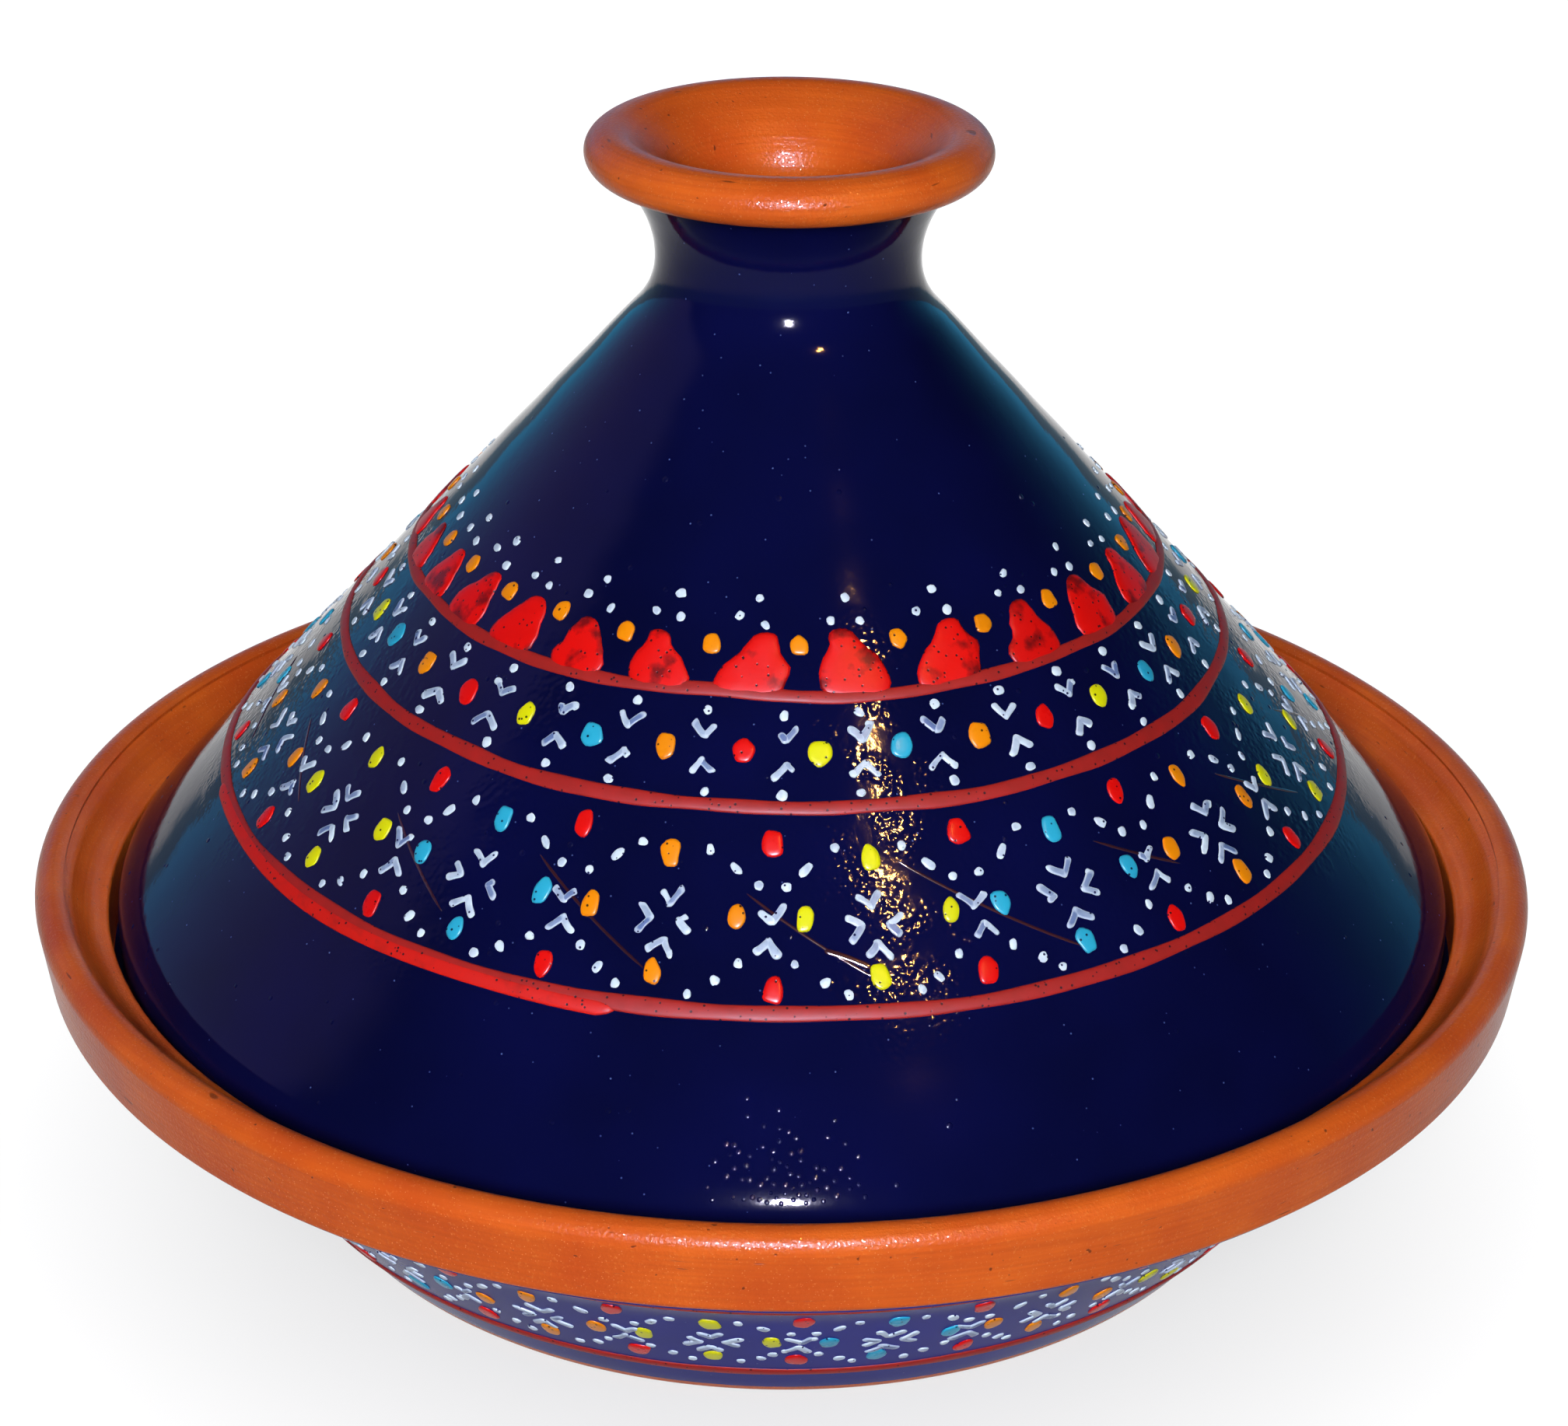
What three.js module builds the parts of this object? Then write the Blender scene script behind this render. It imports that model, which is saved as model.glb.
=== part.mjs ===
// A conical clay cooking pot: a glazed dish with a bare rim, and a tall painted lid with a cup-shaped knob.
// Sizes are in millimetres. +Z is up, the table is at z = 0 and the pot's axis is x = y = 0.

import * as THREE from 'three';

// Fits and fired layers
const gap = 0.3;               // clearance between pieces that lie against each other
const glaze = 0.8;             // thickness of a glaze coat
const enamel = 0.6;            // height of a painted line
const enamelRound = 0.25;      // how far a painted line's crown stands above its edges

// Dish
const dishRadius = 155;        // outside of the rim band
const dishHeight = 71.5;       // table to the crown of the bead
const bandHeight = 16.7;       // plain clay face round the outside of the rim
const bandTuck = 1.9;          // how far the band draws in at its lower edge
const beadWidth = 7.4;         // rounded bead along the crown
const beadTurn = 135;          // degrees that the bead's arc turns through before the groove
const grooveDepth = 3;         // crown down to the groove inside the bead
const slopeWidth = 7.1;        // hollowed inner face of the rim, seen from above
const slopeDrop = 5.6;         // fall of that face
const slopeSteep = 3.2;        // how far in from the groove it levels out
const stepDrop = 11.8;         // upright step from that face down to the ledge
const ledgeWidth = 13;         // shelf that carries the lid
const ledgeRound = 2.5;        // softened inner edge of the shelf
const ledgeClay = 11.5;        // shelf down to the hollow of the outside under the rim
const flareWidth = 21.5;       // overhang of the rim beyond that hollow
const flareRound = 7;          // how far the hollow's curve runs each way
const bowlSpread = 30.1;       // how far the bowl widens from the foot to that hollow
const bowlWall = 7;            // thickness of the bowl's side
const bowlFloor = 8;           // thickness of the bowl's floor
const bowlRound = 14;          // curve between the floor and the side, inside
const footRound = 1.6;         // softened edge of the underside
const bareFoot = 3;            // unglazed clay above the table
const bareRim = 1.2;           // unglazed clay under the rim band
const dishUpperLine = 5;       // painted line under the rim, above the hollow
const dishLowerLine = 11;      // painted line near the foot, above the table
const dishLineWidth = 2.4;

// Lid, with heights above its lower edge
const lidSideGap = 1.8;        // open ring between the lid's edge and the step
const lidWall = 7;             // thickness of the cone
const lidEdge = 10.5;          // upright part of the edge
const bareEdge = 2.5;          // unglazed clay at the lower edge
const shoulderRise = 4;        // top of the upright part to where the cone's line would meet it
const shoulderRun = 6;         // how far in from the edge the shoulder's curve reaches
const coneHeight = 139;        // where the cone's line meets the neck's
const crownClay = 8;           // that height down to the hollow of the lid
const lidUpperLine = 84.1;     // painted line that carries the row of drops
const lidMiddleLine = 68.6;    // painted line between the two patterned fields
const lidLowerLine = 40.4;     // painted line above the plain edge
const lidLineWidth = 2.2;

// Knob
const neckRadius = 26.1;       // narrowest part, glazed
const neckRound = 6.5;         // how far the curve at the foot of the neck runs down the cone
const neckRise = 5.8;          // how far it runs up to the waist
const neckFlare = 16.5;        // height over which the neck widens to the rolled rim
const knobRadius = 39.7;       // outside of the rolled rim
const rollWidth = 9.3;         // thickness of the rolled rim
const rollSeam = 252;          // degrees round the roll's section where the neck runs into it
const rollLip = 125;           // degrees round it where the cup falls away
const cupFloor = 4.6;          // clay under the cup
const cupWall = 6.5;           // thickness of the neck round the cup
const cupRound = 6;            // curve between the cup's floor and its side

// Facets
const sides = 44;              // round the axis
const curveSteps = 4;          // along each curve of an outline

const at = (r, z) => new THREE.Vector2(r, z);
const radians = THREE.MathUtils.degToRad;

// Points of an outline that is drawn in the half plane of radius and height.
function outline(draw) {
  const path = new THREE.Path();
  draw(path);
  return path.getPoints(curveSteps);
}

// An outline moved to the left of the way it runs, with its corners mitred.
function moveLeft(points, distance) {
  const lefts = points.slice(1).map((point, i) => {
    const along = point.clone().sub(points[i]).normalize();
    return at(-along.y, along.x);
  });
  return points.map((point, i) => {
    const before = lefts[Math.max(i - 1, 0)];
    const after = lefts[Math.min(i, lefts.length - 1)];
    const mitre = before.clone().add(after).divideScalar(1 + before.dot(after));
    return point.clone().addScaledVector(mitre, distance);
  });
}

// Point where an outline passes a height, and the way it runs there.
function crossing(points, height) {
  const i = points.findIndex((point, k) => k > 0 && (point.y - height) * (points[k - 1].y - height) <= 0);
  const along = points[i].clone().sub(points[i - 1]);
  const share = (height - points[i - 1].y) / along.y;
  return { place: points[i - 1].clone().addScaledVector(along, share), along: along.normalize() };
}

// Solid turned round the axis from a profile that runs anticlockwise, seen with the axis on the left.
function turned(name, profile, colour, roughness) {
  const geometry = new THREE.LatheGeometry(profile, sides);
  geometry.rotateX(Math.PI / 2);
  const material = new THREE.MeshStandardMaterial({ color: colour, roughness, metalness: 0 });
  const mesh = new THREE.Mesh(geometry, material);
  mesh.name = name;
  return mesh;
}

const clay = (name, profile) => turned(name, profile, 0xb9622f, 0.6);
const cobalt = (name, profile) => turned(name, profile, 0x0b1246, 0.12);
const brickRed = (name, profile) => turned(name, profile, 0xa3301f, 0.35);

// Ring of glaze: the outside runs upwards and the coat lies on its left.
function coat(name, outside) {
  const inside = moveLeft(outside, glaze).reverse();
  return cobalt(name, [...outside, ...inside, outside[0]]);
}

// Painted line round a coat, slightly crowned, at a height on the outline of that coat.
function paintedLine(name, outside, height, width) {
  const { place, along } = crossing(outside, height);
  const outwards = at(along.y, -along.x);
  const corner = (run, rise) => place.clone().addScaledVector(along, run).addScaledVector(outwards, gap + rise);
  const profile = [
    corner(-width / 2, 0),
    corner(-width / 2, enamel - enamelRound),
    corner(0, enamel),
    corner(width / 2, enamel - enamelRound),
    corner(width / 2, 0),
    corner(-width / 2, 0),
  ];
  return brickRed(name, profile);
}

// Dish: the rim sets where the ledge, the hollow of the outside and the foot lie.
const bandFoot = at(dishRadius - bandTuck, dishHeight - bandHeight);
const grooveRadius = dishRadius - beadWidth;
const stepRadius = grooveRadius - slopeWidth;
const stepTop = dishHeight - grooveDepth - slopeDrop;
const ledgeHeight = stepTop - stepDrop;
const ledgeRadius = stepRadius - ledgeWidth;
const hollow = at(bandFoot.x - flareWidth, ledgeHeight - ledgeClay);
const footRadius = hollow.x - bowlSpread;
const coatDepth = glaze + gap;

const sideway = at(bowlSpread, hollow.y).normalize();
const flareway = bandFoot.clone().sub(hollow).normalize();
const footCorner = at(footRadius, 0);
const onSide = (height) => footCorner.clone().addScaledVector(sideway, height / sideway.y);

const dishOutside = outline((path) => {
  const start = onSide(bareFoot);
  const bendStart = hollow.clone().addScaledVector(sideway, -flareRound);
  const bendEnd = hollow.clone().addScaledVector(flareway, flareRound);
  const end = bandFoot.clone().addScaledVector(flareway, -bareRim);
  path.moveTo(start.x, start.y);
  path.lineTo(bendStart.x, bendStart.y);
  path.quadraticCurveTo(hollow.x, hollow.y, bendEnd.x, bendEnd.y);
  path.lineTo(end.x, end.y);
});

// The lining runs from the step across the ledge and down to the middle of the floor.
const dishInside = outline((path) => {
  const inward = at(-sideway.y, sideway.x);
  const bend = hollow.clone().addScaledVector(inward, bowlWall);
  const toe = footCorner.clone().addScaledVector(inward, bowlWall);
  const corner = toe.clone().addScaledVector(sideway, (bowlFloor - toe.y) / sideway.y);
  const curveTop = corner.clone().addScaledVector(sideway, bowlRound);
  path.moveTo(stepRadius - gap, ledgeHeight);
  path.lineTo(ledgeRadius + ledgeRound, ledgeHeight);
  path.quadraticCurveTo(ledgeRadius, ledgeHeight, ledgeRadius, ledgeHeight - ledgeRound);
  path.lineTo(bend.x, bend.y);
  path.lineTo(curveTop.x, curveTop.y);
  path.quadraticCurveTo(corner.x, corner.y, corner.x - bowlRound, bowlFloor);
  path.lineTo(0, bowlFloor);
});

const rim = outline((path) => {
  const bead = beadWidth / 2;
  path.moveTo(bandFoot.x, bandFoot.y);
  path.lineTo(dishRadius, dishHeight - bead);
  path.absarc(dishRadius - bead, dishHeight - bead, bead, 0, radians(beadTurn), false);
  path.lineTo(grooveRadius, dishHeight - grooveDepth);
  path.quadraticCurveTo(grooveRadius - slopeSteep, stepTop, stepRadius, stepTop);
  path.lineTo(stepRadius, ledgeHeight - coatDepth);
});

const footEdge = outline((path) => {
  const rise = onSide(footRound);
  const bareTop = onSide(bareFoot - gap);
  path.moveTo(0, 0);
  path.lineTo(footRadius - footRound, 0);
  path.quadraticCurveTo(footRadius, 0, rise.x, rise.y);
  path.lineTo(bareTop.x, bareTop.y);
});

const dish = new THREE.Group();
dish.add(clay('dish_clay', [
  ...footEdge,
  ...moveLeft(dishOutside, coatDepth),
  ...rim,
  ...moveLeft(dishInside, coatDepth).slice(1),
]));
dish.add(coat('dish_outer_glaze', dishOutside));
dish.add(cobalt('dish_inner_glaze', [
  ...moveLeft(dishInside, glaze).reverse(),
  ...dishInside,
]));
dish.add(paintedLine('dish_upper_line', dishOutside, hollow.y + dishUpperLine, dishLineWidth));
dish.add(paintedLine('dish_lower_line', dishOutside, dishLowerLine, dishLineWidth));

// Lid: its edge follows the step of the dish, and its glaze runs on from the cone to the neck of the knob.
const lidRadius = stepRadius - lidSideGap;
const shoulderCorner = at(lidRadius, lidEdge + shoulderRise);
const coneTop = at(neckRadius, coneHeight);
const coneway = coneTop.clone().sub(shoulderCorner).normalize();
const coneFoot = shoulderCorner.clone().addScaledVector(coneway, -shoulderRun / coneway.x);
const neckCurveStart = coneTop.clone().addScaledVector(coneway, -neckRound);
const neckCurveEnd = at(neckRadius, coneHeight + neckRise);
const neckCurve = new THREE.QuadraticBezierCurve(neckCurveStart, coneTop, neckCurveEnd);
const lutePoint = neckCurve.getPoint(0.5);

const roll = rollWidth / 2;
const rollCentre = at(knobRadius - roll, neckCurveEnd.y + neckFlare + roll);
const rollStart = radians(rollSeam - 360);

const coneOutside = outline((path) => {
  const control = neckCurveStart.clone().lerp(coneTop, 0.5);
  path.moveTo(lidRadius, bareEdge);
  path.lineTo(lidRadius, lidEdge);
  path.quadraticCurveTo(shoulderCorner.x, shoulderCorner.y, coneFoot.x, coneFoot.y);
  path.lineTo(neckCurveStart.x, neckCurveStart.y);
  path.quadraticCurveTo(control.x, control.y, lutePoint.x, lutePoint.y);
});

const neckOutside = outline((path) => {
  const control = coneTop.clone().lerp(neckCurveEnd, 0.5);
  const reach = roll + coatDepth;
  const endRadius = rollCentre.x + reach * Math.cos(rollStart);
  const endHeight = rollCentre.y + reach * Math.sin(rollStart);
  path.moveTo(lutePoint.x, lutePoint.y);
  path.quadraticCurveTo(control.x, control.y, neckCurveEnd.x, neckCurveEnd.y);
  path.quadraticCurveTo(neckRadius, (neckCurveEnd.y + endHeight) / 2, endRadius, endHeight);
});

const lidInside = outline((path) => {
  const innerFoot = at(lidRadius - lidWall, 0);
  const innerEdge = at(lidRadius - lidWall, lidEdge);
  const inward = at(coneway.y, -coneway.x).multiplyScalar(-lidWall);
  const innerConeFoot = coneFoot.clone().add(inward);
  const innerCorner = innerConeFoot.clone()
    .addScaledVector(coneway, (innerEdge.x - innerConeFoot.x) / coneway.x);
  const ceiling = coneHeight - crownClay;
  const innerTop = innerConeFoot.clone()
    .addScaledVector(coneway, (ceiling - innerConeFoot.y) / coneway.y);
  path.moveTo(0, ceiling);
  path.lineTo(innerTop.x, innerTop.y);
  path.lineTo(innerConeFoot.x, innerConeFoot.y);
  path.quadraticCurveTo(innerCorner.x, innerCorner.y, innerEdge.x, innerEdge.y);
  path.lineTo(innerFoot.x, innerFoot.y);
});

// The knob is luted to the flat top of the cone.
const coneClay = moveLeft(coneOutside, coatDepth);
const neckClay = moveLeft(neckOutside, coatDepth);
const luteHeight = coneClay.at(-1).y;
const knobFoot = luteHeight + gap;

const cup = outline((path) => {
  const floorHeight = knobFoot + cupFloor;
  const sideRadius = neckRadius - cupWall;
  const turn = radians(rollLip);
  const lip = at(roll, 0).rotateAround(at(0, 0), turn).add(rollCentre);
  const bendHeight = lip.y + (lip.x - sideRadius) / Math.tan(turn);
  path.absarc(rollCentre.x, rollCentre.y, roll, rollStart, turn, false);
  path.quadraticCurveTo(sideRadius, bendHeight, sideRadius, floorHeight + cupRound);
  path.quadraticCurveTo(sideRadius, floorHeight, sideRadius - cupRound, floorHeight);
  path.lineTo(0, floorHeight);
});

const lid = new THREE.Group();
lid.position.z = ledgeHeight + gap;
lid.add(clay('lid_clay', [
  ...lidInside,
  at(lidRadius, 0),
  at(lidRadius, bareEdge - gap),
  at(coneClay[0].x, bareEdge - gap),
  ...coneClay.slice(1),
  at(0, luteHeight),
]));
lid.add(clay('knob_clay', [
  at(0, knobFoot),
  at(neckClay[0].x, knobFoot),
  ...neckClay.slice(1),
  ...cup,
]));
lid.add(coat('lid_glaze', [...coneOutside, ...neckOutside.slice(1)]));
lid.add(paintedLine('lid_upper_line', coneOutside, lidUpperLine, lidLineWidth));
lid.add(paintedLine('lid_middle_line', coneOutside, lidMiddleLine, lidLineWidth));
lid.add(paintedLine('lid_lower_line', coneOutside, lidLowerLine, lidLineWidth));

const tagine = new THREE.Group();
tagine.add(dish, lid);

export default tagine;
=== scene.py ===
# %% [markdown]
# # A painted tagine
# A tagine is a clay cooking pot in two pieces: a shallow dish, and a tall conical lid with a cup for a knob.
# Both are thrown on the wheel, dipped in cobalt glaze except where a hand or the fire touches them, and painted
# with raised enamels. This lesson turns every piece from an outline, as the potter does, and then paints it
# mark by mark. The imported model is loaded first, because it fixes where every piece sits.

# %% The frame
import random
from math import cos, degrees, pi, radians, sin

import bpy
import numpy as np
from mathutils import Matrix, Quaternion, Vector


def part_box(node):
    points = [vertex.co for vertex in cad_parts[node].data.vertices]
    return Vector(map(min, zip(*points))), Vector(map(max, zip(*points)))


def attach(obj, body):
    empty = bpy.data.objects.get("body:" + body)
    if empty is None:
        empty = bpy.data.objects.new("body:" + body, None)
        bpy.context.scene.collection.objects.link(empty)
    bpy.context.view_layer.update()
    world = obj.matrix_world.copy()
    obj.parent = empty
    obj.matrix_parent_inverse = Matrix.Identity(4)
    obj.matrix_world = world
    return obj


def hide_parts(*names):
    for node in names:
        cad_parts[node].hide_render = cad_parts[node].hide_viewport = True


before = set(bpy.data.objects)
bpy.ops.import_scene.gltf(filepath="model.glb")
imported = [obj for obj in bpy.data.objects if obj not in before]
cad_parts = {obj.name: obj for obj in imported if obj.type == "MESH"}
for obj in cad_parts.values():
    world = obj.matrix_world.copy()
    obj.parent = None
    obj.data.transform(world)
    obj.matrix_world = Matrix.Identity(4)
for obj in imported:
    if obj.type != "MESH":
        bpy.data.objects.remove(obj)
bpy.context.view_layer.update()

MM = 0.001

# %% [markdown]
# ## Camera
# The pot is seen from a little above its rim. The ellipses of the rim and the knob give the viewing angle, and
# how much smaller the knob's ellipse is than it would be from far away gives the distance. A long lens close
# to the axis is enough, so the picture needs no shift, only a slight roll of the camera.

# %% Camera
AIM_HEIGHT = 96.8 * MM
CAMERA_DISTANCE = 726.3 * MM
CAMERA_ELEVATION = radians(25.62)
CAMERA_ROLL = radians(0.55)
FOCAL_PIXELS = 4500
IMAGE_WIDTH = 2016

lens = bpy.data.cameras.new("camera")
lens.sensor_fit = "HORIZONTAL"
lens.sensor_width = 36
lens.lens = lens.sensor_width * FOCAL_PIXELS / IMAGE_WIDTH
camera = bpy.data.objects.new("camera", lens)
backwards = Vector((0, -cos(CAMERA_ELEVATION), sin(CAMERA_ELEVATION)))
camera.location = Vector((0, 0, AIM_HEIGHT)) + backwards * CAMERA_DISTANCE
camera.rotation_mode = "QUATERNION"
camera.rotation_quaternion = (-backwards).to_track_quat("-Z", "Y") @ Quaternion((0, 0, 1), CAMERA_ROLL)
bpy.context.scene.collection.objects.link(camera)
bpy.context.scene.camera = camera
print("camera at", [round(v / MM) for v in camera.location], "mm with a", round(lens.lens, 1), "mm lens")

# %% [markdown]
# ## Outlines
# Everything thrown on a wheel is a body of revolution, so its shape is one line in the half plane of radius and
# height. An outline is written here as the corners a potter's rib would follow, and each corner says over how
# many millimetres it is softened. A screw modifier could turn it, but a mesh made in code keeps every ring where
# the painting needs it later.

# %% Outlines and turning
BEND_STEPS = 14
TURNS = 240


def outline(*corners):
    """Points through the corners (radius, height, softened before, softened after), in mm."""
    points = [np.array(corners[0][:2], float)]
    for before, corner, after in zip(corners, corners[1:], corners[2:]):
        here, back, on = (np.array(c[:2], float) for c in (corner, before, after))
        if len(corner) == 2:
            points.append(here)
            continue
        start = here + (back - here) / np.linalg.norm(back - here) * corner[2]
        end = here + (on - here) / np.linalg.norm(on - here) * corner[-1]
        t = np.linspace(0, 1, BEND_STEPS)[:, None]
        points.extend(start * (1 - t) ** 2 + 2 * here * t * (1 - t) + end * t ** 2)
    points.append(np.array(corners[-1][:2], float))
    return np.array(points)


def arc(centre, half_width, half_height, first, last, steps=24):
    """Points of a round or flattened bead from one angle to another, in degrees."""
    angles = np.radians(np.linspace(first, last, steps))
    return np.column_stack((centre[0] + half_width * np.cos(angles), centre[1] + half_height * np.sin(angles)))


def running_length(points):
    return np.concatenate(([0], np.cumsum(np.linalg.norm(np.diff(points, axis=0), axis=1))))


def spaced(points, step):
    """The same line with points no further apart than step."""
    lengths = running_length(points)
    inserted = np.arange(0, lengths[-1], step)
    every = np.unique(np.concatenate((lengths, inserted)).round(4))
    return np.column_stack([np.interp(every, lengths, points[:, k]) for k in (0, 1)])


def moved_in(points, distance):
    """The line moved to its left, which is into the clay."""
    along = np.gradient(points, axis=0)
    along /= np.linalg.norm(along, axis=1)[:, None]
    return points + np.column_stack((-along[:, 1], along[:, 0])) * np.reshape(distance, (-1, 1))


def make_object(name, points, faces):
    mesh = bpy.data.meshes.new(name)
    mesh.from_pydata([tuple(p) for p in points], [], faces)
    mesh.shade_smooth()
    thing = bpy.data.objects.new(name, mesh)
    bpy.context.scene.collection.objects.link(thing)
    return thing


def turned(name, points, sway=None):
    """Solid turned round the axis; the outline ends on the axis at both ends, or closes on itself."""
    points = np.array(points, float)
    angles = np.arange(TURNS) * 2 * pi / TURNS
    vertices, rings = [], []
    for radius, height in points:
        if radius < 1e-6:
            rings.append([len(vertices)] * TURNS)
            vertices.append((0, 0, height * MM))
            continue
        rings.append(list(range(len(vertices), len(vertices) + TURNS)))
        for angle in angles:
            r, z = sway(angle, radius, height) if sway else (radius, height)
            vertices.append((r * sin(angle) * MM, -r * cos(angle) * MM, z * MM))
    if points[0][0] > 1e-6:
        rings.append(rings[0])
    faces = []
    for low, high in zip(rings, rings[1:]):
        for j in range(TURNS):
            k = (j + 1) % TURNS
            corners = [low[j], low[k], high[k], high[j]]
            faces.append(list(dict.fromkeys(corners)))
    thing = make_object(name, vertices, faces)
    thing.data.set_sharp_from_angle(angle=radians(50))
    return thing


print("outlines bend in", BEND_STEPS, "steps and turn in", TURNS)

# %% [markdown]
# ## The dish
# The dish has a heavy bare rim: an upright band, a bead round the crown, a groove, and a hollowed face that
# falls steeply from the groove and levels out at the top of a step.
# The lid stands on a ledge below that step. Under the rim the wall is hollowed and runs down to a flat foot.
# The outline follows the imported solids, and what was a facet there is a smooth, slightly uneven curve here.

# %% Outline of the dish
COAT_RISE = 0.45  # how far the glaze stands above the bare clay
COAT_DEPTH = 1.1  # how far the coat reaches into the clay under it

WALL_THICKNESS = 7
BAND_LEAN, BAND_HEIGHT = 1.9, 16.7  # the upright band of the rim, drawn in at its foot
BEAD = 3.7  # radius of the bead round the crown
GROOVE_DEPTH = 3
FACE_RUN, FACE_DROP = 7.1, 5.6  # the hollowed face from the groove to the step
FACE_STEEP = 3.2  # the part of its run in which it falls steeply
LEDGE_WIDTH = 13
HOLLOW_RUN, HOLLOW_DROP = 21.5, 11.5  # from the rim in to the hollow under it, and from the ledge down to it
WALL_RUN = 30.1  # how far the wall of the bowl runs in from the hollow to the foot
BARE_FOOT = 1.3  # clay wiped bare above the table

dish_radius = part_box("dish_clay")[1].x / MM
dish_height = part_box("dish_clay")[1].z / MM
band_foot = (dish_radius - BAND_LEAN, dish_height - BAND_HEIGHT)
groove = (dish_radius - 2 * BEAD, dish_height - GROOVE_DEPTH)
step_top = (groove[0] - FACE_RUN, groove[1] - FACE_DROP)
hollow_face = (groove[0] - FACE_STEEP, step_top[1], 5.4, 2.7)
ledge_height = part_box("dish_inner_glaze")[1].z / MM
ledge_radius = step_top[0] - LEDGE_WIDTH
hollow = (band_foot[0] - HOLLOW_RUN, ledge_height - HOLLOW_DROP)
foot_radius = hollow[0] - WALL_RUN
wall = np.array(hollow) - (foot_radius, 0)
wall /= np.linalg.norm(wall)
inwards = np.array((-wall[1], wall[0])) * WALL_THICKNESS
floor_height = 8
inner_bend = np.array(hollow) + inwards
inner_toe = np.array((foot_radius, 0)) + inwards
inner_toe += wall * (floor_height - inner_toe[1]) / wall[1]


def on_wall(height):
    return foot_radius + wall[0] / wall[1] * height, height


dish_outside = outline(on_wall(BARE_FOOT), (*hollow, 7), np.array(band_foot) * 0.95 + np.array(hollow) * 0.05)
dish_inside = outline((step_top[0] - 0.3, ledge_height), (ledge_radius, ledge_height, 2.5),
                      (*inner_bend, 6), (*inner_toe, 14), (0, floor_height))
rim = np.vstack((
    outline(on_wall(40)[:1] + (band_foot[1] - 4,), (*band_foot, 1.2), (dish_radius, dish_height - BEAD))[1:],
    arc((dish_radius - BEAD, dish_height - BEAD), BEAD, BEAD, 0, 128),
    outline((groove[0] + 1.6, groove[1] + 1.3), (*groove, 0.9), hollow_face, (*step_top, 1.1),
            (step_top[0], ledge_height - COAT_DEPTH)),
))
print("dish", dish_radius * 2, "mm wide,", dish_height, "mm high, ledge at", round(ledge_height, 1))

# %% [markdown]
# ## Glaze coats
# Dipped glaze is a glassy skin a few tenths of a millimetre proud of the clay, with a soft roll where it was
# wiped off. A coat is therefore a thin closed shell: its outside follows the outline, and it thins to nothing
# over the last millimetre and a half at each end, so that no sharp edge shows.

# %% Dish pieces
def coat(outside, roll=1.5):
    """Closed outline of a coat that thins at both ends."""
    outside = spaced(outside, 0.5)
    length = running_length(outside)
    from_end = np.minimum(length, length[-1] - length) / roll
    thin = 1 - np.sqrt(1 - (1 - np.clip(from_end, 0, 1)) ** 2)
    face = moved_in(outside, thin * COAT_RISE * 1.6)
    keep = np.unique(np.concatenate((np.where(from_end < 1)[0], np.where(from_end >= 1)[0][::6])))
    return np.vstack((face[keep], moved_in(outside, COAT_DEPTH)[keep][::-1]))


SWAY_RADIUS, SWAY_HEIGHT, SWAY_FADE = 120, 45, 20  # where the rim begins to sway, and over how many mm it grows


def rim_sway(angle, radius, height):
    """A thrown rim is never quite true: it dips and draws in by a few tenths."""
    up, out = (height - SWAY_HEIGHT) / SWAY_FADE, (radius - SWAY_RADIUS) / SWAY_FADE
    near_rim = min(max(up, 0), 1) * min(max(out, 0), 1)
    draw = 0.35 * (1 + sin(2 * angle + 0.9)) + 0.12 * (1 + sin(5 * angle))
    dip = 0.25 * (1 + sin(3 * angle + 2.1)) + 0.1 * (1 + sin(7 * angle))
    return radius - near_rim * draw, height - near_rim * dip


dish_body = turned("dish_body", np.vstack((
    outline((0, 0), (foot_radius, 0, 1.6), on_wall(BARE_FOOT + 0.5)),
    moved_in(dish_outside, COAT_RISE)[1:],
    rim,
    moved_in(dish_inside, COAT_RISE)[1:-1],
    [(0, floor_height - COAT_RISE)],
)), rim_sway)
dish_coat = turned("dish_outside_glaze", coat(dish_outside), rim_sway)
lining_under = moved_in(dish_inside, COAT_DEPTH)
dish_lining = turned("dish_lining_glaze", np.vstack((
    [(0, floor_height - COAT_DEPTH)], lining_under[1:-1][::-1], dish_inside)))
print("dish pieces:", dish_body.name, dish_coat.name, dish_lining.name)

# %% [markdown]
# ## The lid
# The lid's edge is upright for a centimetre, turns over a short shoulder into the straight cone, and ends in the
# neck of the knob. The knob is a small cup with a rolled rim, thrown apart and luted on; the glaze covers the joint
# and stops just under the roll. Inside, the bare clay keeps the rings of the potter's fingers.

# %% Outline of the lid
def finger_rings(points, spacing, depth):
    """The same line with the soft ridges that fingers leave while the wheel turns."""
    points = spaced(points, spacing / 6)
    length = running_length(points)
    fade = np.clip(np.minimum(length, length[-1] - length) / spacing, 0, 1)
    return moved_in(points, depth * fade * (1 + np.sin(length * 2 * pi / spacing)) / 2)


CONE_HEIGHT = 139  # from the seat to the top of the cone
EDGE_HEIGHT = 14.5  # from the seat to the corner that the shoulder rounds off
SHOULDER_RISE, SHOULDER_RUN = 3, 7  # where the rounding starts below the corner and ends inside it
NECK_RADIUS = 26.1
NECK_ROUND, NECK_RISE = 6.5, 5.8  # rounding of the cone into the neck, below and above their corner
ROLL_WIDTH, ROLL_HEIGHT = 5.4, 4.65  # half sizes of the rolled rim
ROLL_SEAM = 252  # degrees round the roll's section where the neck runs into it
ROLL_LIP = 125  # degrees round it where the cup falls away

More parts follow.
